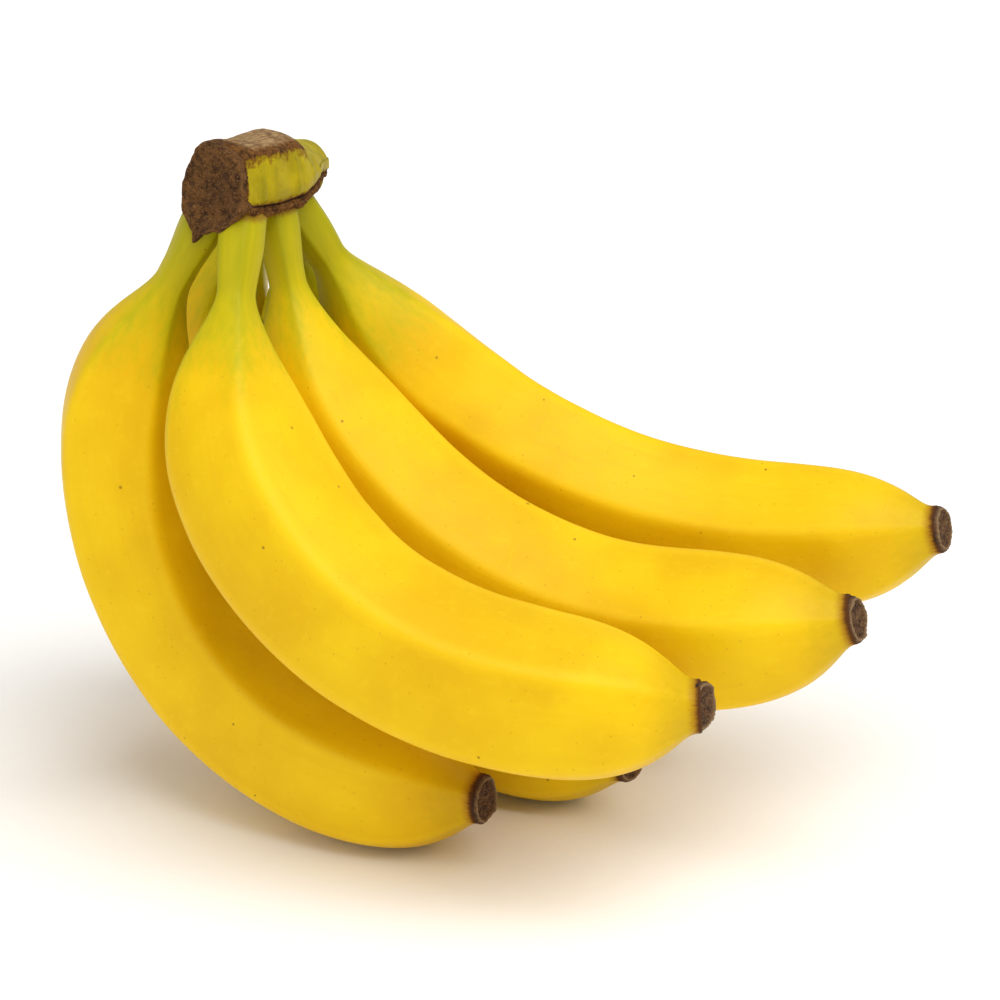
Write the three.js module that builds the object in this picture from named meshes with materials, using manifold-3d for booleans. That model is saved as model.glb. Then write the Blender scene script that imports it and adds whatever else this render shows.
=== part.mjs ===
// A hand of seven bananas: the fingers grow in two rows out of one cut crown and curve down and
// forward, and each ends in the dry remnant of its flower. It rests on three of its fingers.
// Millimetres, +Z up. The part's origin is the middle of its bounding box, at the floor.
import * as THREE from "three";
import { mergeVertices } from "three/addons/utils/BufferGeometryUtils.js";
import Module from "manifold-3d";

const wasm = await Module();
wasm.setup();

// ---- the crown -------------------------------------------------------------------------------
const ROW_TURN = 30; // the rows of necks run this many degrees from +Y towards +X
const CUT_FACE = -23; // where the crown was cut across the rows, measured along them
const ROW_GAP = 0.3; // a hair of air between a finger and the crown it grows from
const SLEEVE = 12; // how far the root of a neck reaches up into the crown
const CROWN_POINTS = 32; // points round the crown's section
const CROWN_SQUARENESS = 3.2; // 2 would be an ellipse, more is squarer

// The crown's section at stations along the rows: middle and half sizes across and up, and how far
// its left and right sides have leaned in at the top.
const CROWN_STATIONS = [
  { along: -23, across: 1.4, half: 8.8, height: 158.7, rise: 9.7, leanLeft: 5, leanRight: 0.6 },
  { along: -18, across: 1.3, half: 9.8, height: 159.4, rise: 9.5, leanLeft: 5, leanRight: 0.8 },
  { along: -8, across: 0.9, half: 10.9, height: 159.3, rise: 9.5, leanLeft: 4.5, leanRight: 1.5 },
  { along: 2, across: 0.5, half: 11.5, height: 159.6, rise: 8.7, leanLeft: 4, leanRight: 3.5 },
  { along: 8, across: 0, half: 11.6, height: 159.4, rise: 7.4, leanLeft: 4, leanRight: 6 },
  { along: 12, across: -0.7, half: 11.3, height: 158.7, rise: 6.4, leanLeft: 3.5, leanRight: 7 },
  { along: 16, across: -2, half: 10.4, height: 158, rise: 5.7, leanLeft: 3, leanRight: 7 },
  { along: 22, across: -3.8, half: 8.6, height: 157, rise: 5.4, leanLeft: 2.5, leanRight: 5.5 },
  { along: 28, across: -5.2, half: 6.8, height: 156.2, rise: 5.2, leanLeft: 2, leanRight: 3.5 },
  { along: 32, across: -5.8, half: 4.4, height: 156, rise: 3.8, leanLeft: 1, leanRight: 1.5 },
];

// ---- the fingers -----------------------------------------------------------------------------
const NECK_RADIUS = 4.5; // the stalk of a finger
const NECK_FLARE = 1.0; // how much it widens again where it meets the crown
const FLARE_LENGTH = 14;
const SHOULDER_LENGTH = 22; // over this length the neck swells into the body
const SHOULDER_SHAPE = 1.6; // 1 swells at once, more swells later and faster
const TAPER_LENGTH = 74; // the body narrows over this length before its end
const TAPER_SHAPE = 6.2; // more keeps it full for longer
const TIP_RADIUS = 6.6; // the short nose the flower grew from
const RIDGES = 5; // a banana's section is a soft pentagon
const RIDGE_HEIGHT = 0.032; // how far its ridges stand out, as a share of the radius
const RING_STEP = 7; // spacing of the rings along a finger
const TIP_STEP = 3.5; // and over its last stretch
const TIP_STRETCH = 28;
const SEGMENTS = 20; // round a finger, a multiple of RIDGES

// The dry remnant of the flower.
const BLOSSOM_HEIGHT = 3;
const BLOSSOM_RADIUS = 6.3;
const BLOSSOM_DIMPLE = 0.7;

// One entry per finger. The root is placed by `along` and `across` the rows and by its height. From
// there the finger leans out by `lean`, turns by `shoulder` where the neck ends and by `bend` over
// its body, all in the upright plane that faces `facing` degrees from +X; `fanNeck` and `fanTip` are
// how far it points out of that plane at its two ends. `ridge` is where one of its ridges sits
// round the section, at the neck and at the tip.
const FINGERS = [
  {
    name: "a", along: -16, across: -6, height: 147.6, lean: -30, shoulder: 21, bend: 103,
    fanNeck: -7, fanTip: 8, length: 206, facing: -35, radius: 18, neck: 17, ridge: [70, 30],
  },
  {
    name: "b", along: -18, across: 6, height: 145, lean: 9, shoulder: 19, bend: 66,
    fanNeck: -25, fanTip: 22, length: 186, facing: -28, radius: 19, neck: 13, ridge: [46, 36],
  },
  {
    name: "c", along: -2.5, across: 5.5, height: 147, lean: 11, shoulder: 20, bend: 75,
    fanNeck: -2, fanTip: -1, length: 200, facing: -17, radius: 19, neck: 15, ridge: [28, 20],
  },
  {
    name: "d", along: 13, across: 4.5, height: 143, lean: 23.5, shoulder: 14, bend: 67,
    fanNeck: 24, fanTip: 0, length: 198, facing: -22, radius: 18.5, neck: 9, ridge: [2, 22],
  },
  {
    name: "e", along: -1.7, across: -6.2, height: 144, lean: -10.6, shoulder: 11.5, bend: 89.9,
    fanNeck: 15.5, fanTip: -7.2, length: 199.8, facing: -25.4, radius: 18.2, neck: 21,
    ridge: [50, 30],
  },
  {
    name: "f", along: 12.8, across: -5.6, height: 149.2, lean: -14.3, shoulder: 7.3, bend: 102,
    fanNeck: 36.5, fanTip: -12.3, length: 198.8, facing: -32.5, radius: 18.5, neck: 25.8,
    ridge: [30, 20],
  },
  {
    name: "g", along: 26.1, across: -6.3, height: 152.2, lean: -44.9, shoulder: 16.6, bend: 94.5,
    fanNeck: 29.6, fanTip: -28.4, length: 196, facing: -8.9, radius: 18.3, neck: 21.1,
    ridge: [10, 20],
  },
];

// ---- colours and finishes --------------------------------------------------------------------
const PEEL = new THREE.MeshStandardMaterial({ color: "#f0c52c", roughness: 0.5, metalness: 0 });
const CUT = new THREE.MeshStandardMaterial({ color: "#7c5a33", roughness: 0.9, metalness: 0 });
const DRY = new THREE.MeshStandardMaterial({ color: "#2e2118", roughness: 0.95, metalness: 0 });

const radians = THREE.MathUtils.degToRad;
const clamp01 = (x) => THREE.MathUtils.clamp(x, 0, 1);
const mix = THREE.MathUtils.lerp;

function smooth(x) {
  const t = clamp01(x);
  return t * t * (3 - 2 * t);
}

// ---- the frame of the two rows ---------------------------------------------------------------
const ALONG = new THREE.Vector3(Math.sin(radians(ROW_TURN)), Math.cos(radians(ROW_TURN)), 0);
const ACROSS = new THREE.Vector3(Math.cos(radians(ROW_TURN)), -Math.sin(radians(ROW_TURN)), 0);
const UP = new THREE.Vector3(0, 0, 1);

function inRows(along, across, height) {
  const point = new THREE.Vector3();
  point.addScaledVector(ALONG, along);
  point.addScaledVector(ACROSS, across);
  point.addScaledVector(UP, height);
  return point;
}

// ---- solids ----------------------------------------------------------------------------------

// A closed skin over rings of equally many points, with a point at the middle of each end.
function skin(rings, startMiddle, endMiddle) {
  const count = rings[0].length;
  const points = [...rings.flat(), startMiddle, endMiddle];
  const start = points.length - 2;
  const end = points.length - 1;
  const faces = [];
  for (let i = 0; i + 1 < rings.length; i++) {
    for (let j = 0; j < count; j++) {
      const a = i * count + j;
      const b = i * count + ((j + 1) % count);
      faces.push(a, b, b + count, a, b + count, a + count);
    }
  }
  const last = (rings.length - 1) * count;
  for (let j = 0; j < count; j++) {
    const next = (j + 1) % count;
    faces.push(start, next, j);
    faces.push(end, last + j, last + next);
  }
  return { points, faces };
}

function solidFrom({ points, faces }) {
  const geometry = new THREE.BufferGeometry();
  geometry.setAttribute(
    "position",
    new THREE.Float32BufferAttribute(points.flatMap((p) => [p.x, p.y, p.z]), 3),
  );
  geometry.setIndex(faces);
  const merged = mergeVertices(geometry, 1e-4);
  const make = (triVerts) =>
    new wasm.Manifold(
      new wasm.Mesh({
        numProp: 3,
        vertProperties: merged.attributes.position.array,
        triVerts,
      }),
    );
  const triVerts = new Uint32Array(merged.index.array);
  const solid = make(triVerts);
  if (solid.volume() > 0) return solid;
  return make(triVerts.reverse());
}

function meshFrom(solid, name, material) {
  const { vertProperties, triVerts } = solid.getMesh();
  const geometry = new THREE.BufferGeometry();
  geometry.setAttribute("position", new THREE.BufferAttribute(vertProperties, 3));
  geometry.setIndex(new THREE.BufferAttribute(triVerts, 1));
  geometry.computeVertexNormals();
  const mesh = new THREE.Mesh(geometry, material.clone());
  mesh.name = name;
  return mesh;
}

// ---- one finger ------------------------------------------------------------------------------

// The way a finger points at distance s from its root.
function heading(finger, s) {
  const share = s / finger.length;
  const along = clamp01((share - 0.14) / 0.84);
  const down = radians(
    finger.lean +
      finger.shoulder * smooth((s - 22) / 45) +
      finger.bend * (0.45 * along + 0.55 * smooth(along)),
  );
  const fan = radians(mix(finger.fanNeck, finger.fanTip, smooth(share)));
  const { outward, sideways } = planeOf(finger);
  const way = new THREE.Vector3();
  way.addScaledVector(UP, -Math.cos(fan) * Math.cos(down));
  way.addScaledVector(outward, Math.cos(fan) * Math.sin(down));
  way.addScaledVector(sideways, Math.sin(fan));
  return way;
}

// The level directions of a finger's own upright plane: outward in it, and sideways out of it.
function planeOf(finger) {
  const turn = radians(finger.facing);
  return {
    outward: new THREE.Vector3(Math.cos(turn), Math.sin(turn), 0),
    sideways: new THREE.Vector3(-Math.sin(turn), Math.cos(turn), 0),
  };
}

// The centre line, as a function of the distance s from the root, summed in steps of 1 mm. Above
// the root it runs straight on into the crown.
function centreLine(finger) {
  const points = [inRows(finger.along, finger.across, finger.height)];
  for (let s = 0; s < finger.length; s++) {
    points.push(points[s].clone().add(heading(finger, s + 0.5)));
  }
  return (s) => {
    if (s < 0) return points[0].clone().addScaledVector(heading(finger, 0), s);
    const step = Math.min(Math.floor(s), points.length - 2);
    return points[step].clone().lerp(points[step + 1], s - step);
  };
}

// The finger's mean radius: a thin neck, a shoulder, a full body, and a taper into a short nose.
function radiusAt(finger, s) {
  const neck = NECK_RADIUS + NECK_FLARE * smooth(1 - s / FLARE_LENGTH);
  const swell = Math.max(0, (s - finger.neck) / SHOULDER_LENGTH);
  const body = neck + (finger.radius - neck) * (1 - Math.exp(-(swell ** SHOULDER_SHAPE)));
  const end = clamp01((s - (finger.length - TAPER_LENGTH)) / TAPER_LENGTH);
  const taper = body * (1 - end ** TAPER_SHAPE);
  return (taper ** 4 + (TIP_RADIUS * end) ** 4) ** 0.25;
}

// A ring of points round the centre line. Its angle 0 faces along the rows, towards the cut face,
// and a quarter turn on is the hollow side of the curve.
function ring(finger, line, s, radius, ridgeHeight) {
  const way = heading(finger, Math.max(0, s));
  const { sideways } = planeOf(finger);
  const side = sideways.clone().addScaledVector(way, -sideways.dot(way)).normalize();
  const hollow = new THREE.Vector3().crossVectors(way, side);
  const middle = line(s);
  const ridge = radians(mix(finger.ridge[0], finger.ridge[1], clamp01(s / finger.length)));
  const points = [];
  for (let j = 0; j < SEGMENTS; j++) {
    const angle = ridge + (2 * Math.PI * j) / SEGMENTS;
    const r = radius * (1 + ridgeHeight * Math.cos(RIDGES * (angle - ridge)));
    const point = middle.clone();
    point.addScaledVector(side, -r * Math.cos(angle));
    point.addScaledVector(hollow, r * Math.sin(angle));
    points.push(point);
  }
  return points;
}

// Distances of the rings along a finger, closer together near its tip.
function stations(from, to) {
  const places = [];
  const bend = to - TIP_STRETCH;
  const long = Math.round((bend - from) / RING_STEP);
  for (let i = 0; i < long; i++) places.push(mix(from, bend, i / long));
  const short = Math.round(TIP_STRETCH / TIP_STEP);
  for (let i = 0; i <= short; i++) places.push(mix(bend, to, i / short));
  return places;
}

// The finger's own solid, grown by `extra` all round and beyond its root.
function fingerSolid(finger, extra = 0) {
  const line = centreLine(finger);
  const end = finger.length - BLOSSOM_HEIGHT;
  const rings = stations(-extra, end).map((s) => {
    const fade = 1 - clamp01(1 - (finger.length - s) / 30) ** 2;
    return ring(finger, line, s, radiusAt(finger, Math.max(0, s)) + extra, RIDGE_HEIGHT * fade);
  });
  return solidFrom(skin(rings, line(-extra), line(end)));
}

// The root of the neck inside the crown: from just above the finger's own end up into the crown.
function sleeveSolid(finger) {
  const line = centreLine(finger);
  const places = [-ROW_GAP, -SLEEVE / 2, -SLEEVE];
  const root = radiusAt(finger, 0);
  const rings = places.map((s) => ring(finger, line, s, root * (1 - 0.012 * s), RIDGE_HEIGHT));
  return solidFrom(skin(rings, line(-ROW_GAP), line(-SLEEVE)));
}

// The flower's remnant: a short ragged stub with a dimple in its end.
function blossomSolid(finger) {
  const line = centreLine(finger);
  const from = finger.length - BLOSSOM_HEIGHT + ROW_GAP;
  const profile = [
    { s: from, r: BLOSSOM_RADIUS - 0.3 },
    { s: mix(from, finger.length, 0.4), r: BLOSSOM_RADIUS },
    { s: finger.length - 0.4, r: BLOSSOM_RADIUS - 0.3 },
    { s: finger.length, r: BLOSSOM_RADIUS - 1.4 },
  ];
  const rings = profile.map(({ s, r }) => ring(finger, line, s, r, RIDGE_HEIGHT * 1.5));
  return solidFrom(skin(rings, line(from), line(finger.length - BLOSSOM_DIMPLE)));
}

// ---- the crown -------------------------------------------------------------------------------

// The crown's section at one station: a squarish oval whose sides lean in towards the top.
function crownRing(station) {
  const points = [];
  for (let j = 0; j < CROWN_POINTS; j++) {
    const angle = (2 * Math.PI * j) / CROWN_POINTS;
    const c = Math.cos(angle);
    const s = Math.sin(angle);
    const size = (Math.abs(c) ** CROWN_SQUARENESS + Math.abs(s) ** CROWN_SQUARENESS) **
      (-1 / CROWN_SQUARENESS);
    const up = size * s;
    const sideways = size * c;
    const leanIn = sideways < 0 ? station.leanLeft : station.leanRight;
    const lean = (-leanIn * (up + 1) * sideways) / 2;
    const tilt = up > 0 ? -1.8 * sideways * up : 0;
    points.push(
      inRows(
        station.along,
        station.across + station.half * sideways + lean,
        station.height + station.rise * up + tilt,
      ),
    );
  }
  return points;
}

function crownSolid(grownFingers) {
  const rings = CROWN_STATIONS.map(crownRing);
  const first = CROWN_STATIONS[0];
  const last = CROWN_STATIONS.at(-1);
  const startMiddle = inRows(CUT_FACE, first.across, first.height);
  const endMiddle = inRows(last.along + 1.2, last.across, last.height);
  let crown = solidFrom(skin(rings, startMiddle, endMiddle));
  for (const finger of FINGERS) crown = crown.add(sleeveSolid(finger));
  for (const finger of grownFingers) crown = crown.subtract(finger);
  const pieces = crown.decompose();
  return pieces.sort((p, q) => q.volume() - p.volume())[0];
}

// ---- the hand --------------------------------------------------------------------------------
const group = new THREE.Group();
group.name = "banana_hand";
group.add(meshFrom(crownSolid(FINGERS.map((finger) => fingerSolid(finger, ROW_GAP))), "crown", CUT));
for (const finger of FINGERS) {
  group.add(meshFrom(fingerSolid(finger), `banana_${finger.name}`, PEEL));
  group.add(meshFrom(blossomSolid(finger), `blossom_end_${finger.name}`, DRY));
}

const box = new THREE.Box3().setFromObject(group);
const middle = box.getCenter(new THREE.Vector3());
group.position.set(-middle.x, -middle.y, -box.min.z);
group.updateMatrixWorld(true);

export default group;
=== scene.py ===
# %% [markdown]
# # A hand of bananas
# Seven fingers hang in two rows from one cut crown, and the hand stands on three of them. The
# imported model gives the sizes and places. This lesson lays a finished skin over it, piece by
# piece: the crown, the seven peels, and the dry scar where each flower fell off.

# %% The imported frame
import bpy
import numpy as np
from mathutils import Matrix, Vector


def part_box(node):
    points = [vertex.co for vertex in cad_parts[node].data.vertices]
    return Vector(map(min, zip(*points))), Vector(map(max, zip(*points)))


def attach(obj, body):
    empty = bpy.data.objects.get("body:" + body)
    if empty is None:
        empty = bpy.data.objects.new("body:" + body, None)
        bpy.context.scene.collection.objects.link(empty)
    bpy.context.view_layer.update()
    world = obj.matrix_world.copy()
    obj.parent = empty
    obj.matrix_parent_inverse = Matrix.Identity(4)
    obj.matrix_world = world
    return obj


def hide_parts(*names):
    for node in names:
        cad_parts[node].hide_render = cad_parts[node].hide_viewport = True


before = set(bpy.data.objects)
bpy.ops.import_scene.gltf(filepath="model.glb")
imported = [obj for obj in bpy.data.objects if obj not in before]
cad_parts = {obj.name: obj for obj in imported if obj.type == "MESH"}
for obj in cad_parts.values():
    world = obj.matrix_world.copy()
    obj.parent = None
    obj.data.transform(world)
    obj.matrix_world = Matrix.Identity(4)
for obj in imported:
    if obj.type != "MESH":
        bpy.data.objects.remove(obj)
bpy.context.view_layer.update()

MM = 0.001

# %% [markdown]
# ## Small tools
# Every shape below is a whole array of points, so the tools work on arrays. A soft step turns a
# straight ramp into one without corners. `lumps` gives smooth random heights on a lattice that
# closes on itself, which is how a fruit's surface departs from its ideal shape.

# %% Steps, mixes and lumps
def soft_step(x):
    """0 below 0 and 1 above 1; between them x squared times (3 minus 2x)."""
    t = np.clip(x, 0, 1)
    return t * t * (3 - 2 * t)


def mix(a, b, t):
    """a where t is 0, b where t is 1, and a straight line between."""
    return a + (b - a) * t


def lumps(u, v, rows, columns, seed):
    """Random numbers from -1 to 1 on a lattice of rows by columns, blended by soft steps between
    its points. u and v run from 0 to 1, and the lattice closes on itself in v."""
    lattice = np.random.default_rng(seed).uniform(-1, 1, (rows + 2, columns))
    x, y = np.clip(u, 0, 1) * rows, np.mod(v, 1) * columns
    i, j = np.floor(x).astype(int), np.floor(y).astype(int)
    s, t = soft_step(x - i), soft_step(y - j)
    j, k = j % columns, (j + 1) % columns
    near = mix(lattice[i, j], lattice[i, k], t)
    far = mix(lattice[i + 1, j], lattice[i + 1, k], t)
    return mix(near, far, s)

# %% [markdown]
# ## The two rows
# Fingers grow from the crown in two rows, one in front of the other. Measuring along and across
# the rows keeps the numbers simple: the crown is then a straight bar. `in_rows` turns such
# measures into the upright frame.

# %% The frame of the rows
ROW_TURN = np.radians(30)
ALONG = np.array([np.sin(ROW_TURN), np.cos(ROW_TURN), 0])
ACROSS = np.array([np.cos(ROW_TURN), -np.sin(ROW_TURN), 0])
UP = np.array([0.0, 0.0, 1.0])


def in_rows(along, across, height):
    """The point that far along the rows, across them and above the floor."""
    return (np.asarray(along)[..., None] * ALONG + np.asarray(across)[..., None] * ACROSS
            + np.asarray(height)[..., None] * UP)

# %% [markdown]
# ## How a finger hangs
# A banana leaves the crown as a thin neck, turns at its shoulder and then curves steadily to its
# tip. One entry per finger holds where its root is, how it leans, how much it turns, and how
# thick it is. The curve is the sum of small steps, each in the way the finger points there, so
# that its length is right by itself.

# %% The seven fingers
FINGERS = {
    "a": dict(along=-16, across=-6, height=147.6, lean=-30, shoulder=21, bend=103, fan_neck=-7,
              fan_tip=8, length=206, facing=-35, radius=18, neck=17, ridge=(70, 30)),
    "b": dict(along=-18, across=6, height=145, lean=9, shoulder=19, bend=66, fan_neck=-25,
              fan_tip=22, length=186, facing=-28, radius=19, neck=13, ridge=(46, 36)),
    "c": dict(along=-2.5, across=5.5, height=147, lean=11, shoulder=20, bend=75, fan_neck=-2,
              fan_tip=-1, length=200, facing=-17, radius=19, neck=15, ridge=(28, 20)),
    "d": dict(along=13, across=4.5, height=143, lean=23.5, shoulder=14, bend=67, fan_neck=24,
              fan_tip=0, length=198, facing=-22, radius=18.5, neck=9, ridge=(12, 22)),
    "e": dict(along=-1.7, across=-6.2, height=144, lean=-10.6, shoulder=11.5, bend=89.9,
              fan_neck=15.5, fan_tip=-7.2, length=199.8, facing=-25.4, radius=18.2, neck=21,
              ridge=(50, 30)),
    "f": dict(along=12.8, across=-5.6, height=149.2, lean=-14.3, shoulder=7.3, bend=102,
              fan_neck=36.5, fan_tip=-12.3, length=198.8, facing=-32.5, radius=18.5, neck=23.4,
              ridge=(30, 20)),
    "g": dict(along=26.1, across=-6.3, height=152.2, lean=-44.9, shoulder=16.6, bend=94.5,
              fan_neck=29.6, fan_tip=-28.4, length=196, facing=-8.9, radius=18.3, neck=21.1,
              ridge=(10, 20)),
}


def plane_of(finger):
    """The level directions of the upright plane a finger bends in: out, and sideways to it."""
    turn = np.radians(finger["facing"])
    out = np.array([np.cos(turn), np.sin(turn), 0])
    return out, np.array([-np.sin(turn), np.cos(turn), 0])


def heading(finger, s):
    """The way a finger points at s mm from its root: leaning out by `lean`, plus `shoulder` as a
    soft step over 45 mm, plus `bend` as a mix of a ramp and a soft step over its body."""
    s = np.maximum(np.asarray(s, float), 0)
    share = s / finger["length"]
    curve = np.clip((share - 0.14) / 0.84, 0, 1)
    down = np.radians(finger["lean"] + finger["shoulder"] * soft_step((s - 22) / 45)
                      + finger["bend"] * (0.45 * curve + 0.55 * soft_step(curve)))
    fan = np.radians(mix(finger["fan_neck"], finger["fan_tip"], soft_step(share)))
    out, sideways = plane_of(finger)
    return ((-np.cos(fan) * np.cos(down))[..., None] * UP
            + (np.cos(fan) * np.sin(down))[..., None] * out + np.sin(fan)[..., None] * sideways)


def centre_line(finger, s):
    """The centre line at s: the root plus the running sum of 1 mm steps along the heading."""
    steps = np.arange(np.ceil(finger["length"]))
    root = in_rows(finger["along"], finger["across"], finger["height"])
    line = np.vstack([root, root + np.cumsum(heading(finger, steps + 0.5), axis=0)])
    marks = np.arange(len(line))
    points = np.stack([np.interp(s, marks, line[:, k]) for k in range(3)], -1)
    above = np.minimum(np.asarray(s, float), 0)[..., None]
    return points + above * heading(finger, np.zeros(1))

# %% [markdown]
# ## Thickness of a finger
# The neck stays thin, flares a little into the crown, then swells into a full body that tapers
# quickly to a short nose. Each part is one curve, and the nose is joined to the taper by adding
# fourth powers, which keeps the larger of the two and rounds the corner between them.

# %% Radius along a finger
NECK_RADIUS, NECK_FLARE, FLARE_LENGTH = 4.5, 1.0, 14
SHOULDER_LENGTH, SHOULDER_SHAPE = 22, 1.6
TAPER_LENGTH, TAPER_SHAPE, TIP_RADIUS = 74, 6.2, 6.15


def radius_at(finger, s):
    """Neck plus swelling, times one minus a power of the way through the taper; the nose joins
    it as the fourth root of the sum of fourth powers."""
    s = np.asarray(s, float)
    neck = NECK_RADIUS + NECK_FLARE * soft_step(1 - s / FLARE_LENGTH)
    swell = np.maximum(0, (s - finger["neck"]) / SHOULDER_LENGTH)
    body = neck + (finger["radius"] - neck) * (1 - np.exp(-swell ** SHOULDER_SHAPE))
    end = np.clip((s - (finger["length"] - TAPER_LENGTH)) / TAPER_LENGTH, 0, 1)
    taper = body * (1 - end ** TAPER_SHAPE)
    return (taper ** 4 + (TIP_RADIUS * end) ** 4) ** 0.25


def rings(finger, s, angle, radius):
    """Points round the centre line: at each s, `radius` away from it in the direction `angle`,
    where 0 faces the cut end of the crown and a quarter turn on is the hollow of the curve."""
    way = heading(finger, s)
    _, sideways = plane_of(finger)
    side = sideways - (way @ sideways)[..., None] * way
    side /= np.linalg.norm(side, axis=-1, keepdims=True)
    hollow = np.cross(way, side)
    middle = centre_line(finger, s)
    return (middle[:, None] - side[:, None] * (radius * np.cos(angle))[..., None]
            + hollow[:, None] * (radius * np.sin(angle))[..., None])

# %% [markdown]
# ## Where the hand stands in the frame
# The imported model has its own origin. The fingers worked out here only need a shift to land on
# it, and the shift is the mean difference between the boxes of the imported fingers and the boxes
# of these ones.

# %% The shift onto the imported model
def box_middle(points):
    """The middle of the box round an array of points."""
    flat = points.reshape(-1, 3)
    return (flat.min(0) + flat.max(0)) / 2


def packed_middle(node):
    """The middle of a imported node's box, in mm."""
    low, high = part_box(node)
    return (np.array(low) + np.array(high)) / 2 / MM


ROUND = np.linspace(0, 2 * np.pi, 120, endpoint=False)
differences = []
for name, finger in FINGERS.items():
    s = np.linspace(0, finger["length"] - 3, 200)
    plain = rings(finger, s, ROUND[None, :], radius_at(finger, s)[:, None])
    differences.append(packed_middle(f"banana_{name}") - box_middle(plain))
SHIFT = np.mean(differences, axis=0)
print("shift", SHIFT.round(2), "mm, spread", np.ptp(differences, axis=0).round(2))

# %% [markdown]
# ## From points to a mesh
# A skin is a grid of points: rings one after the other, joined by four-sided faces, with a fan
# of triangles to the middle of the first and the last ring so that it is closed. If the skin
# comes out inside out, its volume is negative and every face is turned. Named values on the
# points, such as the distance from the root, let a material follow the surface.

# %% Skins
def closed_skin(name, grid, marks, material, node):
    """Makes the object from a grid of rings in mm and puts it in the frame. `marks` maps a name
    to one value or one vector per grid point."""
    rows, columns = grid.shape[:2]
    index = np.arange(rows * columns).reshape(rows, columns)
    right = np.roll(index, -1, axis=1)
    points = np.concatenate([grid.reshape(-1, 3), grid[:1].mean(1), grid[-1:].mean(1)])
    first, last = np.full(columns, rows * columns), np.full(columns, rows * columns + 1)
    quads = np.stack([index[:-1], right[:-1], right[1:], index[1:]], -1).reshape(-1, 4)
    fans = np.concatenate([np.stack([right[0], index[0], first], -1),
                           np.stack([index[-1], right[-1], last], -1)])
    corner = [points[quads[:, k]] for k in range(4)]
    volume = (np.einsum("ij,ij->i", corner[0], np.cross(corner[1], corner[2])).sum()
              + np.einsum("ij,ij->i", corner[0], np.cross(corner[2], corner[3])).sum()) / 6
    if volume < 0:
        quads, fans = quads[:, ::-1], fans[:, ::-1]
    mesh = bpy.data.meshes.new(name)
    loops = np.concatenate([quads.ravel(), fans.ravel()])
    starts = np.concatenate([np.arange(len(quads)) * 4,
                             len(quads) * 4 + np.arange(len(fans)) * 3])
    mesh.vertices.add(len(points))
    mesh.vertices.foreach_set("co", ((points + SHIFT) * MM).ravel())
    mesh.loops.add(len(loops))
    mesh.loops.foreach_set("vertex_index", loops.astype(np.int32))
    mesh.polygons.add(len(starts))
    mesh.polygons.foreach_set("loop_start", starts.astype(np.int32))
    mesh.update(calc_edges=True)
    mesh.shade_smooth()
    for mark, values in marks.items():
        size = values.shape[2] if values.ndim == 3 else 1
        flat = values.reshape(-1, size)
        flat = np.concatenate([flat, values[:1].reshape(1, -1, size).mean(1),
                               values[-1:].reshape(1, -1, size).mean(1)])
        kind, field = ("FLOAT_VECTOR", "vector") if size == 3 else ("FLOAT", "value")
        mesh.attributes.new(mark, kind, "POINT").data.foreach_set(field, flat.ravel())
    mesh.materials.append(material)
    piece = bpy.data.objects.new(name, mesh)
    bpy.context.scene.collection.objects.link(piece)
    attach(piece, "root")
    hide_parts(node)
    print(name, len(mesh.polygons), "faces,", round(abs(volume) / 1000, 1), "cm3")

# %% [markdown]
# ## Nodes and colours
# Colours are written as sRGB hex, the way a paint chart gives them, and turned to linear once.
# One helper adds a node: plain values are set on its sockets and sockets are linked to them.
# Three more helpers do a job that every finish needs: painting coats over each other, adding up
# weighted values, and joining the result to the shader.

# %% Node helper
def colour(hex_code):
    """Linear RGBA from sRGB hex: the low end is divided by 12.92, the rest is shifted by 0.055,
    divided by 1.055 and raised to 2.4."""
    srgb = np.array([int(hex_code[i:i + 2], 16) for i in (1, 3, 5)]) / 255
    linear = np.where(srgb <= 0.04045, srgb / 12.92, ((srgb + 0.055) / 1.055) ** 2.4)
    return (*linear.tolist(), 1.0)


def add(tree, kind, inputs=None, out=0, **settings):
    """Adds a node, applies its settings, links or sets its inputs, and returns one output."""
    node = tree.nodes.new(kind)
    for key, value in settings.items():
        setattr(node, key, value)
    for key, value in (inputs or {}).items():
        if isinstance(value, bpy.types.NodeSocket):
            tree.links.new(value, node.inputs[key])
        else:
            node.inputs[key].default_value = value
    return node.outputs[out]

# %% Painting and finishing
def start_material(name):
    """A material with an empty principled shader, and its tree and shader node."""
    material = bpy.data.materials.new(name)
    material.use_nodes = True
    return material, material.node_tree, material.node_tree.nodes["Principled BSDF"]


def paint(tree, tone, coats):
    """Coats over a colour, one after the other. Each is a paint, a value, the two values between
    which it fades, and how thick it lies at the first and at the second."""
    for hex_code, value, low, high, first, second in coats:
        thick = add(tree, "ShaderNodeMapRange", {"Value": value, "From Min": low, "From Max": high,
                    "To Min": first, "To Max": second}, interpolation_type="SMOOTHSTEP")
        tone = add(tree, "ShaderNodeMix", {0: thick, 6: tone, 7: colour(hex_code)}, out=2,
                   data_type="RGBA")
    return tone


def weigh(tree, terms, so_far=0.0):
    """The sum of each value times its weight, on top of what there is so far."""
    for value, weight in terms:
        so_far = add(tree, "ShaderNodeMath", {0: value, 1: weight, 2: so_far},
                     operation="MULTIPLY_ADD")
    return so_far


def finish(tree, shader, tone, height, strength, depth):
    """Joins colour to the shader, and a bump up to `depth` metres high made from the height."""
    normal = add(tree, "ShaderNodeBump", {"Height": height, "Strength": strength,
                 "Distance": depth}, out="Normal")
    tree.links.new(tone, shader.inputs["Base Color"])
    tree.links.new(normal, shader.inputs["Normal"])

# %% [markdown]
# ## Ripe peel
# Banana peel is a waxy skin over fibres that run from neck to tip. Ripe, it is a clear yellow
# that drifts a little from place to place; the neck and shoulder stay green longest, the nose
# turns olive, and the edge of the flower scar is burnt brown. Small freckles are scattered over
# it. The finish is satin: the wax gives a soft highlight, and pores and fibres break it up.

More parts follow.
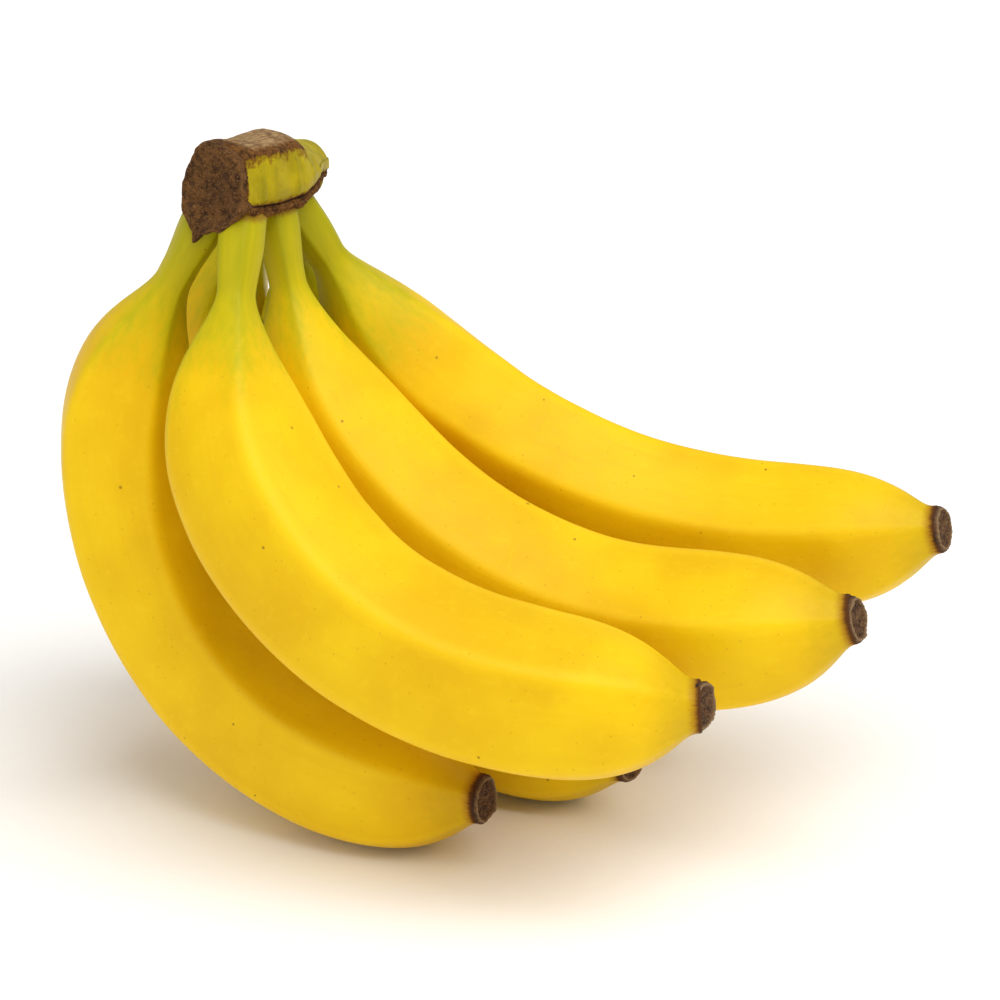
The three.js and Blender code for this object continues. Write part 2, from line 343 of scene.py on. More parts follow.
# %% Peel material
def ripe_peel():
    """Yellow with a slow drift and a painted highlight on the ridges, then green, olive, freckles
    and burnt edges painted over it.
    """
    material, tree, shader = start_material("ripe_banana_peel")
    lie = add(tree, "ShaderNodeAttribute", out="Vector", attribute_name="lie")
    root, tip, ridge, collar = (add(tree, "ShaderNodeAttribute", out="Fac", attribute_name=name)
                                for name in ("from_root", "from_tip", "ridge", "below_collar"))
    where = add(tree, "ShaderNodeTexCoord", out="Object")
    # `lie` is in mm, two parts across the finger and one along it; drawing in the last part
    # stretches a pattern along the fibres
    long, short = (add(tree, "ShaderNodeVectorMath", {0: lie, 1: (1, 1, share)},
                       operation="MULTIPLY") for share in (0.06, 0.12))
    drift, fibre, mottle, fine, hairs = (
        add(tree, "ShaderNodeTexNoise", {"Vector": place, "Scale": 1 / size, "Detail": detail,
            "Roughness": 0.55})
        for place, size, detail in (
            (where, 0.030, 2),      # patches of 30 mm that ripen together
            (long, 1.6, 4),         # fibres 1.6 mm wide
            (where, 0.0022, 3),     # 2 mm mottling of the wax
            (where, 0.0008, 2),     # 0.8 mm unevenness of the skin
            (short, 0.45, 2),       # hairs 0.4 mm wide at torn and burnt edges
        ))
    tone = paint(tree, colour("#e0b102"), (
        ("#edc306", drift, 0.3, 0.7, 0, 1),
        ("#dda606", fibre, 0.5, 0.85, 0, 0.26),
        ("#fbd624", mottle, 0.5, 0.8, 0, 0.2),
        # painted highlight: the ridges are lightened as if the light caught them
        ("#fcd41c", ridge, 0.6, 1, 0, 0.2)))

    wander = weigh(tree, ((fibre, 26),), -13)
    green_to = weigh(tree, ((root, 1), (wander, 1), (drift, 30), (ridge, -9)), -15)
    olive_to = weigh(tree, ((tip, 1), (wander, 0.25)))
    tone = paint(tree, tone, (
        ("#c0b208", green_to, 12, 42, 0.9, 0),
        ("#a29c08", green_to, -10, 26, 0.9, 0),
        ("#a88c10", olive_to, 1.5, 14, 0.45, 0)))

    spots, pores = (add(tree, "ShaderNodeTexVoronoi", {"Vector": where, "Scale": 1 / size},
                        out="Distance") for size in (0.0055, 0.0030))   # one in 5.5 and in 3 mm
    chance = add(tree, "ShaderNodeSeparateColor", {0: spots.node.outputs["Color"]})
    spot_size = add(tree, "ShaderNodeMapRange", {"Value": chance, "From Min": 0.25,
                    "To Max": 0.095}, interpolation_type="SMOOTHSTEP")
    inside = add(tree, "ShaderNodeMath", {0: spot_size, 1: spots}, operation="SUBTRACT")
    tone = paint(tree, tone, (("#8a5c10", inside, 0, 0.04, 0, 0.7),
                              ("#b9900a", pores, 0.04, 0.13, 0.4, 0)))

    burnt = weigh(tree, ((tip, 1), (hairs, 1.3)), -0.65)
    torn = weigh(tree, ((collar, 1), (hairs, 1.6)), -0.8)
    tone = paint(tree, tone, (
        ("#98600e", burnt, 0.4, 3.0, 0.8, 0),
        ("#4a260e", burnt, -0.1, 1.2, 0.95, 0),
        ("#8c6414", torn, -0.2, 1.4, 0.8, 0)))

    wax, char, pore = (
        add(tree, "ShaderNodeMapRange", {"Value": value, "From Min": low, "From Max": high,
            "To Min": first, "To Max": second}, interpolation_type="SMOOTHSTEP")
        for value, low, high, first, second in (
            (mottle, 0.3, 0.7, 0.40, 0.50),     # satin, a little uneven
            (burnt, 0.0, 2.0, 0.8, 0.4),        # matte where it is burnt
            (pores, 0.04, 0.13, 1, 0)))         # 1 in a pore
    rough = add(tree, "ShaderNodeMath", {0: wax, 1: char}, operation="MAXIMUM")
    tree.links.new(rough, shader.inputs["Roughness"])
    shader.inputs["IOR"].default_value = 1.45
    shader.inputs["Specular IOR Level"].default_value = 0.18
    finish(tree, shader, tone, weigh(tree, ((fibre, 0.7), (fine, 0.35), (pore, -0.25))),
           0.35, 0.00022)
    return material


PEEL = ripe_peel()
print("made", PEEL.name)

# %% [markdown]
# ## Dried cut and scar
# Where the crown was cut from its stalk, the wet flesh has dried to a dark brown, granular crust
# with paler woody fibres in it. The flower scars at the tips are the same stuff, darker, with a
# pale corky ring. Both are matte. One function paints the crust, and each material adds what is
# its own.

# %% Crust
def crust(tree, row, dark, middle, pale, size):
    """Granular brown: two noises choose between three browns. Returns the colour and a height."""
    clumps, grains = (add(tree, "ShaderNodeTexNoise", {"Vector": row, "Scale": 1 / width,
                          "Detail": 4, "Roughness": rough})
                      for width, rough in ((size * 4, 0.6), (size, 0.7)))
    tone = paint(tree, colour(dark), (
        (middle, clumps, 0.3, 0.62, 0, 1),
        (dark, grains, 0.28, 0.5, 0.85, 0),
        (pale, grains, 0.54, 0.74, 0, 0.8)))
    return tone, weigh(tree, ((clumps, 0.8), (grains, 1)))


def flower_scar():
    """Dark granular cork with a pale ring, and a burnt wall round it."""
    material, tree, shader = start_material("dried_flower_scar")
    lie = add(tree, "ShaderNodeAttribute", out="Vector", attribute_name="lie")
    tone, height = crust(tree, lie, "#3a2416", "#6b4a2c", "#b0905e", 0.42)   # 0.4 mm grains
    for mark, hex_code, share in (("rim", "#a88a62", 0.6), ("wall", "#3c2212", 0.75)):
        amount = add(tree, "ShaderNodeAttribute", out="Fac", attribute_name=mark)
        tone = add(tree, "ShaderNodeMix", {0: weigh(tree, ((amount, share),)), 6: tone,
                   7: colour(hex_code)}, out=2, data_type="RGBA")
    shader.inputs["Roughness"].default_value = 0.85
    shader.inputs["Specular IOR Level"].default_value = 0.3
    finish(tree, shader, tone, height, 0.9, 0.0004)
    return material


SCAR = flower_scar()
print("made", SCAR.name)

# %% [markdown]
# ## The crown's finish
# The crown still has its green skin on its two long sides, drawn into upright ribs. Its top was
# cut and has weathered to a paler tan with grain along the rows, and below the skin hangs a
# collar of dry brown bract. The marks on the points say which is where, and their edges wander.

# %% Crown materials
def crown_finish():
    """Green ribbed skin, tan grained top and brown collar, chosen by marks with ragged edges, and
    painted shade in the crease.
    """
    material, tree, shader = start_material("banana_crown_skin_and_cork")
    row = add(tree, "ShaderNodeAttribute", out="Vector", attribute_name="row")   # mm
    dry, top, painted_crease_shade = (add(tree, "ShaderNodeAttribute", out="Fac", attribute_name=name)
                     for name in ("dry", "top", "painted_crease_shade"))
    with_rows, upright = (add(tree, "ShaderNodeVectorMath", {0: row, 1: shares},
                              operation="MULTIPLY") for shares in ((0.25, 1, 0.6), (1, 0.2, 0.07)))
    lines, stains, drift, ribs, specks, edge = (
        add(tree, "ShaderNodeTexNoise", {"Vector": place, "Scale": 1 / size, "Detail": detail,
            "Roughness": rough})
        for place, size, detail, rough in (
            (with_rows, 0.7, 4, 0.65),      # grain lines of the top, 0.7 mm apart
            (row, 3.0, 3, 0.55),            # 3 mm stains on the top
            (row, 6.0, 2, 0.55),            # 6 mm patches of the skin
            (upright, 1.3, 4, 0.55),        # ribs of the skin, 1.3 mm apart
            (row, 0.7, 2, 0.55),            # 0.7 mm specks
            (row, 1.6, 4, 0.55),            # 1.6 mm teeth of the ragged edges
        ))
    tan = paint(tree, colour("#81613f"), (
        ("#ba9a6c", lines, 0.32, 0.68, 0, 1),
        ("#54392a", stains, 0.45, 0.75, 0, 0.7)))
    skin = paint(tree, colour("#9c8c02"), (
        ("#b09c04", drift, 0.35, 0.65, 0, 1),
        ("#777808", ribs, 0.52, 0.8, 0, 0.6),
        ("#6c4c10", specks, 0.64, 0.78, 0, 0.6)))
    brown, height = crust(tree, row, "#3f2612", "#7a4f24", "#a87f48", 0.5)

    dried = weigh(tree, ((dry, 1), (edge, 1.1)), -0.55)
    weathered = weigh(tree, ((top, 1), (edge, 1.1)), -0.55)
    turned, is_brown, is_tan, rough, crumbly = (
        add(tree, "ShaderNodeMapRange", {"Value": value, "From Min": low, "From Max": high,
            "To Min": first, "To Max": second}, interpolation_type="SMOOTHSTEP")
        for value, low, high, first, second in (
            (dried, 0.12, 0.42, 0, 0.9),
            (dried, 0.34, 0.55, 0, 1),
            (weathered, 0.25, 0.95, 0, 1),
            (dried, 0.1, 0.5, 0.5, 0.88),
            (dried, 0.2, 0.6, 0.08, 1)))
    tone = skin
    for amount, above in ((turned, colour("#86620e")), (is_brown, brown), (is_tan, tan)):
        tone = add(tree, "ShaderNodeMix", {0: amount, 6: tone, 7: above}, out=2, data_type="RGBA")
    # painted shade: the crease under the skin is painted near black, as shade
    tone = paint(tree, tone, (("#20130c", painted_crease_shade, 0.4, 1, 0, 0.95),))
    tree.links.new(rough, shader.inputs["Roughness"])
    shader.inputs["Specular IOR Level"].default_value = 0.12
    finish(tree, shader, tone, weigh(tree, ((height, crumbly), (lines, 0.5), (ribs, 0.5))),
           0.8, 0.0006)
    return material


def cut_face():
    """The end that was cut from the stalk: granular, darker in the middle, paler fibres."""
    material, tree, shader = start_material("dried_cut_of_crown")
    row = add(tree, "ShaderNodeAttribute", out="Vector", attribute_name="row")
    heart = add(tree, "ShaderNodeAttribute", out="Fac", attribute_name="heart")
    tone, height = crust(tree, row, "#432812", "#7c5328", "#b88a50", 0.45)   # 0.45 mm grains
    tone = add(tree, "ShaderNodeMix", {0: weigh(tree, ((heart, 0.4),)), 6: tone,
               7: colour("#3a2412")}, out=2, data_type="RGBA")
    stains = add(tree, "ShaderNodeTexNoise", {"Vector": row, "Scale": 1 / 3.0, "Detail": 4,
                 "Roughness": 0.55})
    tone = paint(tree, tone, (("#85562a", stains, 0.5, 0.75, 0, 0.15),))
    shader.inputs["Roughness"].default_value = 0.88
    shader.inputs["Specular IOR Level"].default_value = 0.25
    finish(tree, shader, tone, height, 1.0, 0.0008)
    return material


CROWN_SKIN, CUT = crown_finish(), cut_face()
print("made", CROWN_SKIN.name, "and", CUT.name)

# %% [markdown]
# ## The crown
# The crown is the bar of stalk all the necks join. Its section has a cut top, a bulging side of
# green skin, a crease under it painted near black as shade, and the dry collar below the crease.
# One profile goes down the right side and is mirrored for the left, and it is carried along the
# rows while its middle, its half width, its top and its crease change. Where the bar ends, the
# sections shrink round.

# %% Crown block
# along the rows: middle across, half width, height of the top and of the crease, and how far
# the left and the right side have leaned in at the top
STATIONS = np.array([
    [-23, 1.4, 8.8, 168.4, 154.6, 5.0, 0.4],
    [-18, 1.3, 9.8, 169.0, 153.3, 5.0, 0.5],
    [-8, 0.9, 10.9, 169.1, 152.6, 4.5, 1.0],
    [2, 0.5, 11.5, 168.4, 153.1, 4.0, 3.0],
    [8, -0.4, 11.2, 166.8, 154.2, 4.0, 5.3],
    [12, -1.3, 10.7, 165.2, 154.8, 3.5, 5.8],
    [16, -2.7, 9.7, 163.8, 154.9, 3.0, 5.5],
    [22, -4.3, 8.1, 162.6, 154.5, 2.5, 4.0],
    [28, -5.5, 6.5, 161.6, 153.9, 2.0, 2.5],
    [34, -6.1, 4.9, 160.6, 153.6, 1.0, 1.5],
])
# one row per point down the side, from the middle of the top to the middle of the bottom
PROFILE = np.array([
    # width, from_top, from_crease, on the top, dried, painted shade in the crease
    [0.00, 0.0, np.nan, 1.0, 1.0, 0],
    [0.45, 0.5, np.nan, 1.0, 1.0, 0],
    [0.74, 1.5, np.nan, 0.8, 1.0, 0],
    [0.90, 2.8, np.nan, 0.2, 1.0, 0],
    [0.97, 4.0, np.nan, 0.0, 0.42, 0],
    [1.00, 7.5, np.nan, 0.0, 0.0, 0],
    [1.03, np.nan, 3.6, 0.0, 0.0, 0],
    [1.00, np.nan, 1.6, 0.0, 0.0, 0],
    [0.95, np.nan, 0.4, 0.0, 0.45, 0.3],
    [0.89, np.nan, 0.0, 0.0, 1.0, 1.0],
    [0.93, np.nan, -0.4, 0.0, 1.0, 0.2],
    [0.97, np.nan, -1.0, 0.0, 1.0, 0],
    [0.96, np.nan, -1.8, 0.0, 1.0, 0],
    [0.90, np.nan, -2.5, 0.0, 1.0, 0],
    [0.70, np.nan, -2.6, 0.0, 1.0, 0],
    [0.00, np.nan, -2.6, 0.0, 1.0, 0],
])
BLOCK_FROM = -21                   # the block starts here, inside the cut plate
CLOSING_FROM, CLOSING = 26, 8      # where the back end starts to close, and over what length
COLLAR = 2.9                       # the dry collar hangs this far below the crease


def crease_at(along):
    """Height of the crease above the floor at a place along the rows."""
    return np.interp(along, STATIONS[:, 0], STATIONS[:, 4])


def smooth_along(values, times):
    """A closed row of values, averaged with its two neighbours again and again."""
    for _ in range(times):
        values = (np.roll(values, 1, -1) + 2 * values + np.roll(values, -1, -1)) / 4
    return values


def crown_block():
    """The profile at every place along the rows, with ribs on the skin, hollows in the top and a
    ragged lower edge on the collar. Towards the back end a section shrinks as a quarter circle."""
    along = np.concatenate([np.linspace(BLOCK_FROM, CLOSING_FROM, 150), CLOSING_FROM + CLOSING
                            * np.sin(np.linspace(0, np.pi / 2, 30)[1:-1])])
    middle, half, top, crease, left_in, right_in = (
        np.interp(along, STATIONS[:, 0], STATIONS[:, k])[:, None] for k in range(1, 7))
    half_points = 110
    t = np.linspace(0, 1, half_points)
    leg = np.linspace(0, 1, len(PROFILE))
    width = np.interp(t, leg, PROFILE[:, 0])
    from_top = np.interp(t, leg, np.nan_to_num(PROFILE[:, 1], nan=0))
    from_crease = np.interp(t, leg, np.nan_to_num(PROFILE[:, 2], nan=0))
    below = soft_step((t - leg[5]) / (leg[6] - leg[5]))
    from_top = np.where(t > leg[5], PROFILE[5, 1], from_top)
    from_crease = np.where(t < leg[6], PROFILE[6, 2], from_crease)
    collar_narrows = mix(1, 0.5, soft_step((along[:, None] - 6) / 10))
    from_crease = from_crease * np.where(from_crease < 0, collar_narrows, 1)
    height = mix(top - from_top, crease + from_crease, below)
    right = width * np.ones_like(middle)

    def both(side, mirror=1):
        return np.concatenate([side, mirror * side[:, -2:0:-1]], 1)

    across, height = both(right, -1), both(height)
    # the last column of the profile is the mark for the painted shade in the crease
    marks = {name: both(np.interp(t, leg, PROFILE[:, k]) * np.ones_like(middle))
             for name, k in (("top", 3), ("dry", 4), ("painted_crease_shade", 5))}
    across, height = smooth_along(across, 6), smooth_along(height, 6)
    weathered = 1 - soft_step((along[:, None] - 5.5) / 5)       # the skin closes over the back end
    behind_cut = soft_step((along[:, None] + 22) / 7)
    upper = both(np.where(t <= leg[5], 1, 0) * np.ones_like(middle))
    marks["top"] = marks["top"] * weathered * behind_cut
    marks["dry"] = marks["dry"] * (1 - upper * (1 - weathered))

    first, last = STATIONS[0, 0], STATIONS[-1, 0]
    u = np.broadcast_to(((along - first) / (last - first))[:, None], across.shape)
    v = np.broadcast_to(np.linspace(0, 1, across.shape[1], endpoint=False), across.shape)
    on_skin = np.clip(1 - marks["dry"], 0, 1)
    collar = soft_step((crease - 0.6 - height) / 0.8)
    ribs = 0.28 * lumps(u, v * 0 + 0.3, 18, 3, 5) + 0.14 * lumps(u, v * 0 + 0.1, 44, 3, 6)
    crumble = 0.22 * lumps(u, v, 46, 90, 7) + 0.30 * lumps(u, v, 16, 26, 8)
    swell = ribs * on_skin + crumble * (1 - on_skin)
    across = across + swell / half * np.sign(across)
    height = height + marks["top"] * (0.35 * lumps(u, v, 9, 16, 9) + 0.14 * lumps(u, v, 20, 90, 10)
                                      - 0.9 * np.exp(-((along[:, None] + 9) / 7) ** 2))
    height = height - collar * 0.8 * lumps(u, v * 0 + 0.5 * (across > 0), 22, 4, 11)
    closed = np.maximum(along - CLOSING_FROM, 0) / CLOSING
    shrink = np.sqrt(np.clip(1 - closed ** 2, 0, 1))[:, None]
    heart = (top + crease) / 2 - 1
    rising = np.clip((height - crease - 2.5) / (top - crease - 2.5), 0, 1) ** 1.4
    lean_in = np.where(across < 0, left_in, right_in) * rising
    across = middle + (half - lean_in) * across * shrink
    height = heart + (height - heart) * mix(0.35, 1, shrink)
    border = soft_step((-19.6 - along) / 2.2)[:, None]
    marks["dry"] = np.maximum(marks["dry"], border * np.ones_like(across))
    marks["dry"] = np.maximum(marks["dry"], soft_step((along[:, None] - 27) / 6) * 0.6)
    grid = in_rows(along[:, None] * np.ones_like(across), across, height)
    marks["row"] = np.stack([along[:, None] * np.ones_like(across), across, height], -1)
    closed_skin("crown_block", grid, marks, CROWN_SKIN, "crown")


crown_block()

# %% [markdown]
# ## The cut face
# The end of the crown is a scab: a thick, rough plate that has shrunk back from the skin, with a
# ragged lower edge and one pointed flap hanging over the necks. Its outline is drawn through a
# few points and roughened; the plate is that outline pulled in from its back edge, over a worn
# corner, to the middle of the face.

# %% Scab
# the outline of the plate: mm across the rows and above the floor, clockwise from the top
OUTLINE = np.array([
    [1.0, 169.2], [4.5, 168.4], [7.6, 167.0], [9.6, 165.0], [10.2, 162.0], [10.2, 158.0],
    [10.3, 154.6], [10.1, 152.4], [8.2, 150.6], [6.0, 149.0], [3.4, 146.8], [1.2, 147.0],
    [-2.2, 146.0], [-5.2, 143.4], [-4.9, 146.6], [-6.6, 149.2], [-8.0, 151.4],
    [-7.6, 157.0], [-6.4, 160.6], [-4.8, 164.2], [-3.0, 167.3], [-1.2, 168.8],
])
WORN_FROM, WORN = -21.4, 1.6       # along the rows: where its worn corner starts, and how deep


def around(outline, count):
    """A closed line through the points, at even steps of its own length, with corners eased."""
    closed = np.vstack([outline, outline[:1]])
    length = np.concatenate([[0], np.cumsum(np.linalg.norm(np.diff(closed, axis=0), axis=1))])
    even = np.linspace(0, length[-1], count, endpoint=False)
    line = np.stack([np.interp(even, length, closed[:, k]) for k in (0, 1)])
    return smooth_along(line, 5)


def scab():
    """Rings from the back edge over the worn corner to the middle of the plate. Its face is
    hollowed and grained by lumps of three sizes."""
    count = 260
    edge = around(OUTLINE, count)
    turn = np.arange(count) / count
    heart = np.array([1.8, 158.0])[:, None]
    ragged = 1 + 0.012 * lumps(turn * 0, turn, 1, 60, 21) + 0.02 * lumps(turn * 0, turn, 1, 24, 22)
    edge = heart + (edge - heart) * ragged
    inset = np.concatenate([[0.97, 0.99, 1.0], 1 - 0.055 * (1 - np.cos(np.linspace(
        0, np.pi / 2, 10)[1:])), np.linspace(0.93, 0.02, 62)])[:, None]
    depth = np.concatenate([[-17.6, -19, -20.4], WORN_FROM - WORN * np.sin(np.linspace(
        0, np.pi / 2, 10)[1:]), np.full(62, WORN_FROM - WORN)])[:, None]
    across = heart[0] + (edge[0] - heart[0]) * inset
    height = heart[1] + (edge[1] - heart[1]) * inset
    thin = soft_step((151 - height) / 5)
    flap = WORN_FROM - 0.2 + (depth - WORN_FROM) * 0.25      # the flap is a quarter as thick
    depth = np.where(depth > WORN_FROM, mix(depth, flap, thin), depth)
    u, v = (across + 9) / 24, (height - 142) / 29
    face = soft_step((1 - inset) / 0.12)
    relief = (0.9 * lumps(u, v, 5, 6, 23) + 0.45 * lumps(u, v, 14, 16, 24)
              + 0.28 * lumps(u, v, 34, 40, 25) + 0.12 * lumps(u, v, 80, 90, 26))
    depth = depth - relief * mix(0.25, 0.8, face) + 0.9 * face * (1 - inset)
    grid = in_rows(depth, across, height)
    heart_mark = soft_step(1 - np.hypot(across - 3.5, height - 156.5) / 6)
    marks = {"heart": heart_mark, "row": np.stack([depth, across, height], -1)}
    closed_skin("crown_cut", grid, marks, CUT, "crown")


scab()

# %% [markdown]
# ## The peels
# A banana is not round: five ridges run along it, with flatter faces between them, sharper on
# the neck and soft on the body. A section like that is a pentagon whose corners are rounded by
# taking a high power mean of the distances to its five sides. The faces are not equal, and they
# drift along the finger. Mixing the pentagon with a circle sets how strongly the ridges show.

# %% Section of a finger
RIDGES = 5
ROUNDING = 17            # more gives crisper ridges


def section(angle, ridge, seed, share):
    """One over the mean power of the cosines to the five sides, less its mean. Each side has its
    own small turn and distance, which drift between the neck (share 0) and the tip (share 1)."""
    odd = np.random.default_rng(seed)
    total = np.zeros(np.broadcast(angle, share).shape)
    for k in range(RIDGES):
        turn = ridge + (k + 0.5) * 2 * np.pi / RIDGES
        near, far = odd.uniform(-1, 1, 2), odd.uniform(-1, 1, 2)
        drift = mix(near[0], far[0], share) * np.radians(4.0)
        push = 1 + 0.014 * mix(near[1], far[1], share)
        total = total + np.maximum(0, np.cos(angle - turn - drift) / push) ** ROUNDING
    shape = total ** (-1 / ROUNDING)
    return shape / shape.mean(-1, keepdims=True) - 1


def closeness(angle, ridge):
    """1 on a ridge and 0 midway between two: half of one plus the cosine of five times."""
    return (0.5 + 0.5 * np.cos(RIDGES * (angle - ridge))) ** 3

# %% [markdown]
# The skin runs from inside the crown to the edge of the flower scar, turns in there and closes.
# Slow dents and swellings of a few tenths of a millimetre keep its outline from looking drawn
# with a compass. The fingers of the back row ripen last, so green reaches further down them.

# %% Peel surfaces
AROUND = 160
ROWS = 300
NECK_TOP = 154.2         # necks start inside the crown, this high above the floor or higher
UNRIPE = {"e": 22, "f": 26, "g": 18}      # mm further that the green reaches


def peel(name, finger, seed):
    """Rings of the section times the radius, plus lumps of two sizes; the last rings roll in."""
    end = finger["length"] - 1.5
    start = -max(2.5, NECK_TOP - finger["height"])
    s = np.linspace(start, end, ROWS)
    share = np.clip(s / finger["length"], 0, 1)[:, None]
    ridge = np.radians(mix(finger["ridge"][0], finger["ridge"][1], share))
    angle = ridge + np.linspace(0, 2 * np.pi, AROUND, endpoint=False)[None, :]
    crisp = mix(0.50, 0.72, soft_step(s / 70)) * mix(1, 0.45, soft_step((s - end + 44) / 44))
    radius = radius_at(finger, np.maximum(s, 0))[:, None] * (1 + crisp[:, None]
                                                              * section(angle, ridge, seed, share))
    u, v = np.broadcast_to((s - start)[:, None] / (end - start), angle.shape), angle / (2 * np.pi)
    full = soft_step(s / 40)[:, None] * soft_step((end - s) / 12)[:, None]
    radius = radius + full * (0.26 * lumps(u, v, 7, 4, seed) + 0.10 * lumps(u, v, 22, 9, seed + 1))
    radius = radius + 0.16 * soft_step((s - end + 9) / 9)[:, None] * lumps(u, v, 60, 22, seed + 2)
    grid = rings(finger, s, angle, radius)

    roll = np.linspace(0, np.pi / 2, 5)[1:]
    inwards = np.concatenate([1 - 0.16 * (1 - np.cos(roll)), [0.7, 0.4, 0.1]])[:, None]
    end_s = np.concatenate([end + 0.5 * np.sin(roll), np.full(3, end + 0.3)])
    end_angle = np.repeat(angle[-1:], len(end_s), 0)
    grid = np.concatenate([grid, rings(finger, end_s, end_angle, radius[-1:] * inwards)])
    s, angle = np.concatenate([s, end_s]), np.concatenate([angle, end_angle])
    radius = np.concatenate([radius, radius[-1:] * inwards])
    ridge = np.concatenate([ridge, np.repeat(ridge[-1:], len(end_s), 0)])
    below = crease_at(grid @ ALONG) - COLLAR - grid[..., 2]
    marks = {
        "lie": np.stack([radius * np.cos(angle), radius * np.sin(angle),
                         np.broadcast_to(s[:, None], angle.shape)], -1),
        "from_root": np.broadcast_to(s[:, None], angle.shape) - UNRIPE.get(name, 0),
        "from_tip": np.broadcast_to((end - s)[:, None], angle.shape).copy(),
        "ridge": closeness(angle, ridge),
        "below_collar": below,
    }
    closed_skin(f"peel_{name}", grid, marks, PEEL, f"banana_{name}")


for i, (name, finger) in enumerate(FINGERS.items()):
    peel(name, finger, 31 + 7 * i)

# %% [markdown]
# ## Flower scars
# Each finger ends where its flower dried and broke off: a rough disc about 11 mm across, with a
# low corky ring near its edge, a groove inside the ring and a crumbled middle. It is a profile
# carried round the finger's end, with an outline of soft corners.

# %% Scar surfaces
SCAR_RADIUS = 5.7
RING_AT = 0.75           # the corky ring is this far inside the edge
SLANT = {"b": 0.42, "c": 0.10, "d": 0.06}     # how steeply a scar's face slopes, rise over run


def scar(name, finger, seed):
    """From inside the peel out along the wall, over the ring and the groove, to the middle. The
    face slopes back on the side away from the cut end of the crown by the finger's slant."""
    turn = np.linspace(0, 2 * np.pi, 150, endpoint=False)[None, :]
    v = turn / (2 * np.pi)
    corners = 0.06 * lumps(v * 0, v, 1, 6, seed) + 0.02 * lumps(v * 0, v, 1, 23, seed + 1)
    outline = SCAR_RADIUS * (1 + corners)
    wall = np.linspace(0, 1, 12)[:, None]
    face = np.linspace(0, 1, 60)[:, None]
    inner = outline * (1 - 0.98 * face)
    wall_r = outline * mix(0.93, 1.0, soft_step(wall))
    radius = np.concatenate([wall_r, inner])
    distance = outline - inner
    uneven = 1 + 0.8 * lumps(v * 0, v, 1, 11, seed + 6)
    ring_up = 0.40 * uneven * np.exp(-((distance - RING_AT) / 0.30) ** 2)
    groove = -0.38 * np.exp(-((distance - 1.6) / 0.42) ** 2)
    edge = -0.55 * np.exp(-(distance / 0.35) ** 2)
    dimple = -0.5 * soft_step(1 - inner / 4.5)
    flat_x, flat_y = inner * np.cos(turn) / 14 + 0.5, inner * np.sin(turn) / 14 + 0.5
    inside = soft_step((distance - 1.0) / 0.8)
    crumble = inside * (0.34 * lumps(flat_x, flat_y, 9, 9, seed + 2)
                        + 0.26 * lumps(flat_x, flat_y, 21, 21, seed + 3)
                        + 0.14 * lumps(flat_x, flat_y, 44, 44, seed + 4))
    around_ring, across_ring = v * np.ones_like(face), face * np.ones_like(turn)
    ring_rough = (1 - inside) * 0.16 * lumps(across_ring, around_ring, 30, 60, seed + 5)
    up = -0.35 + ring_up + groove + edge + dimple + crumble + ring_rough
    s = finger["length"] + np.concatenate([mix(-3.4, -0.9, wall) * np.ones_like(turn), up])
    slope = -SLANT.get(name, 0) * radius * np.cos(turn)
    s = s + slope * np.concatenate([soft_step(wall), np.ones_like(face)])
    seat = finger["length"] - 1.0
    way = heading(finger, np.array([seat]))
    flat = rings(finger, np.full(len(s), seat), turn * np.ones((len(s), 1)), radius)
    grid = flat + (s - seat)[..., None] * way
    rim = np.concatenate([np.zeros_like(wall_r), np.exp(-((distance - RING_AT) / 0.32) ** 2)])
    rim_wall = np.concatenate([np.ones_like(wall_r), np.exp(-(distance / 0.3) ** 2)])
    lie = np.stack([radius * np.cos(turn), radius * np.sin(turn), s - finger["length"]], -1)
    closed_skin(f"scar_{name}", grid, {"rim": rim, "wall": rim_wall, "lie": lie}, SCAR,
                f"blossom_end_{name}")


for i, (name, finger) in enumerate(FINGERS.items()):
    scar(name, finger, 101 + 11 * i)

# %% [markdown]
# ## Floor, light and camera
# The hand stands on a plain pale sheet in a bright room: white light from everywhere softens the
# shadows, and one large soft lamp from the upper right brings out the faces of each finger. A
# second, weaker lamp low at the left lightens the shadow there. The camera looks down at the
# hand's front by 17 degrees, through a longish lens.

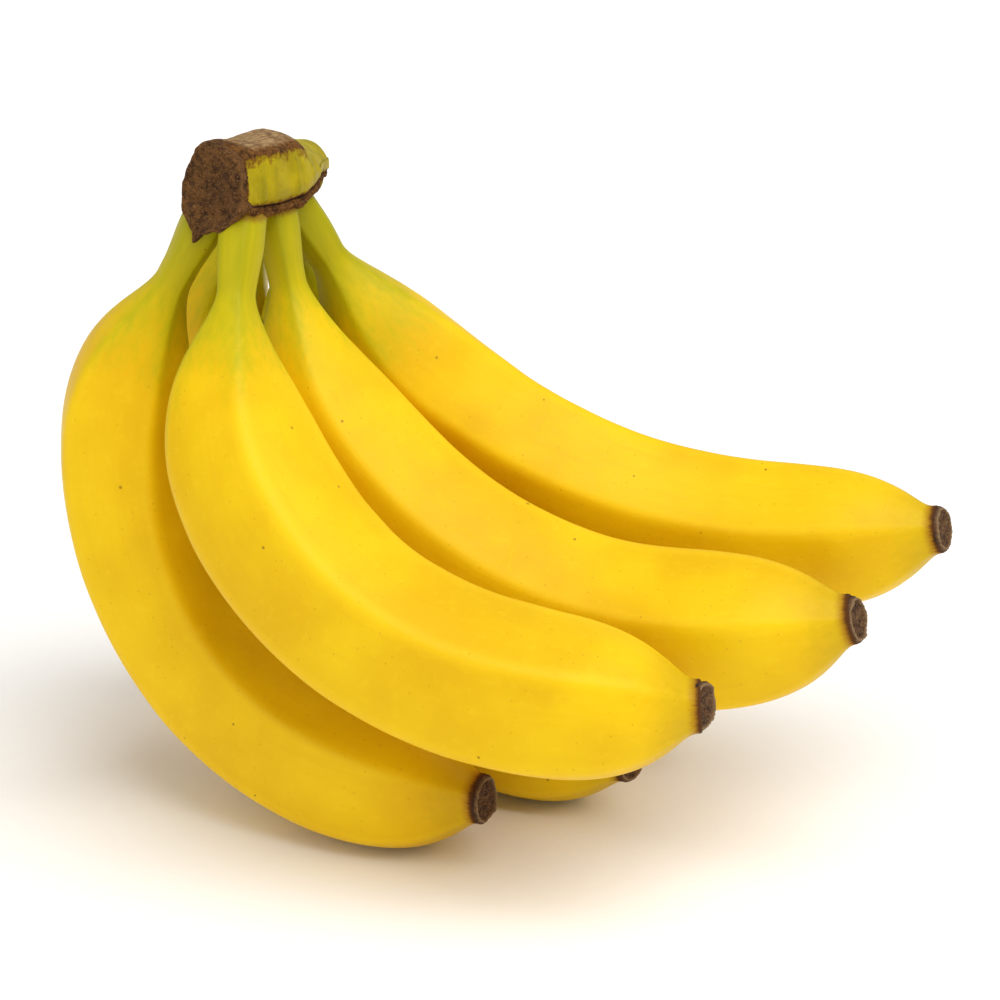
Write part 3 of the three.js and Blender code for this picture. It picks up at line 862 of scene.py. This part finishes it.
# %% Stage
def pale_sheet():
    """Matte paper: near white, barely warm, with a fibre too fine to see as more than a tone."""
    material, tree, shader = start_material("pale_matte_sheet")
    where = add(tree, "ShaderNodeTexCoord", out="Object")
    fibre = add(tree, "ShaderNodeTexNoise", {"Vector": where, "Scale": 1 / 0.004, "Detail": 3,
                "Roughness": 0.55})     # 4 mm
    tone = add(tree, "ShaderNodeMix", {0: fibre, 6: colour("#fbfaf8"), 7: colour("#fefefd")},
               out=2, data_type="RGBA")
    tree.links.new(tone, shader.inputs["Base Color"])
    shader.inputs["Roughness"].default_value = 0.9
    shader.inputs["Specular IOR Level"].default_value = 0.1
    return material


REACH = 12.0
sheet = bpy.data.meshes.new("floor")
sheet.from_pydata([(-REACH, -REACH, 0), (REACH, -REACH, 0), (REACH, REACH, 0), (-REACH, REACH, 0)],
                  [], [(0, 1, 2, 3)])
sheet.materials.append(pale_sheet())
floor = bpy.data.objects.new("floor", sheet)
bpy.context.scene.collection.objects.link(floor)
print("floor", REACH * 2, "m wide")

# %% Light
world = bpy.data.worlds.new("bright_room")
world.use_nodes = True
world.node_tree.nodes["Background"].inputs["Color"].default_value = (1, 1, 1, 1)
world.node_tree.nodes["Background"].inputs["Strength"].default_value = 0.43
bpy.context.scene.world = world


def wide_lamp(name, towards, spread, power, tint):
    """A far lamp seen from the floor in the direction `towards`, as wide as `spread` degrees."""
    lamp = bpy.data.lights.new(name, "SUN")
    lamp.energy, lamp.angle, lamp.color = power, np.radians(spread), colour(tint)[:3]
    made = bpy.data.objects.new(name, lamp)
    bpy.context.scene.collection.objects.link(made)
    made.rotation_euler = Vector(towards).to_track_quat("Z", "Y").to_euler()
    return made


key = wide_lamp("key", (0.34, -0.34, 0.88), 60, 2.45, "#fffefd")
side = wide_lamp("side", (-0.55, -0.65, 0.52), 60, 0.5, "#fafcff")
print("lamps", round(key.data.energy + side.data.energy, 2), "W per square metre")

# %% Camera
ELEVATION = np.radians(17)
LENS, SENSOR, DISTANCE = 100, 36, 712
AIM = np.array([58.0, 12.0, 71.0])       # mm in the frame of the fingers
camera = bpy.data.objects.new("camera", bpy.data.cameras.new("camera"))
camera.data.lens, camera.data.sensor_width = LENS, SENSOR
camera.data.clip_start, camera.data.clip_end = 0.05, 60
camera.rotation_euler = (np.pi / 2 - ELEVATION, 0, 0)
camera.location = (AIM + SHIFT + DISTANCE * np.array([0, -np.cos(ELEVATION),
                                                      np.sin(ELEVATION)])) * MM
bpy.context.scene.collection.objects.link(camera)
bpy.context.scene.camera = camera
bpy.context.scene.view_settings.view_transform = "Standard"
print("camera", [round(c, 3) for c in camera.location])
